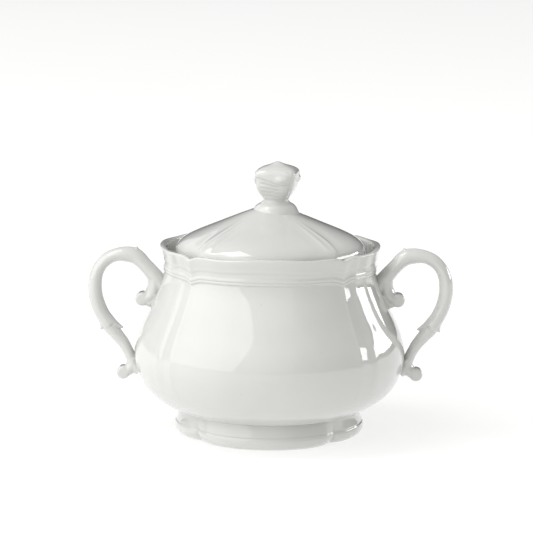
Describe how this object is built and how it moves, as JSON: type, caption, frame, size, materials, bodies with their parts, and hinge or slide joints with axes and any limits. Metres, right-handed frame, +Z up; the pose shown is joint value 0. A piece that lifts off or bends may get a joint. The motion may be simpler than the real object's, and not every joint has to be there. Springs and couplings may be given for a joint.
{
  "type": "sugar bowl",
  "caption": "Covered porcelain sugar bowl with a round panelled body, a lobed foot, scroll handles and a lift-off conical lid with a bud knob.",
  "frame": {"origin": "on the table under the middle of the foot ring, the centre of the bounding box's base", "axes": "+Z up through the knob, +X through the right handle, -Y towards the front panel"},
  "size_m": [0.1648, 0.1226, 0.1228],
  "materials": {
    "body_glaze": "glossy white feldspar glaze",
    "foot_glaze": "glossy white glaze, wiped bare on the ground edge",
    "handle_glaze": "glossy white glaze",
    "lid_glaze": "glossy white glaze",
    "flange_glaze": "thin white glaze, wiped bare on the seat",
    "knob_glaze": "glossy white glaze"
  },
  "bodies": {
    "bowl": {"bowl_body": "body_glaze", "foot_ring": "foot_glaze", "left_handle": "handle_glaze", "right_handle": "handle_glaze"},
    "lid": {"lid_shell": "lid_glaze", "lid_flange": "flange_glaze", "lid_knob": "knob_glaze"}
  },
  "joints": [
    {"name": "lid_lift", "type": "slide", "parent": "bowl", "child": "lid", "axis": [0, 0, 1], "range_m": [0, 0.06]}
  ]
}
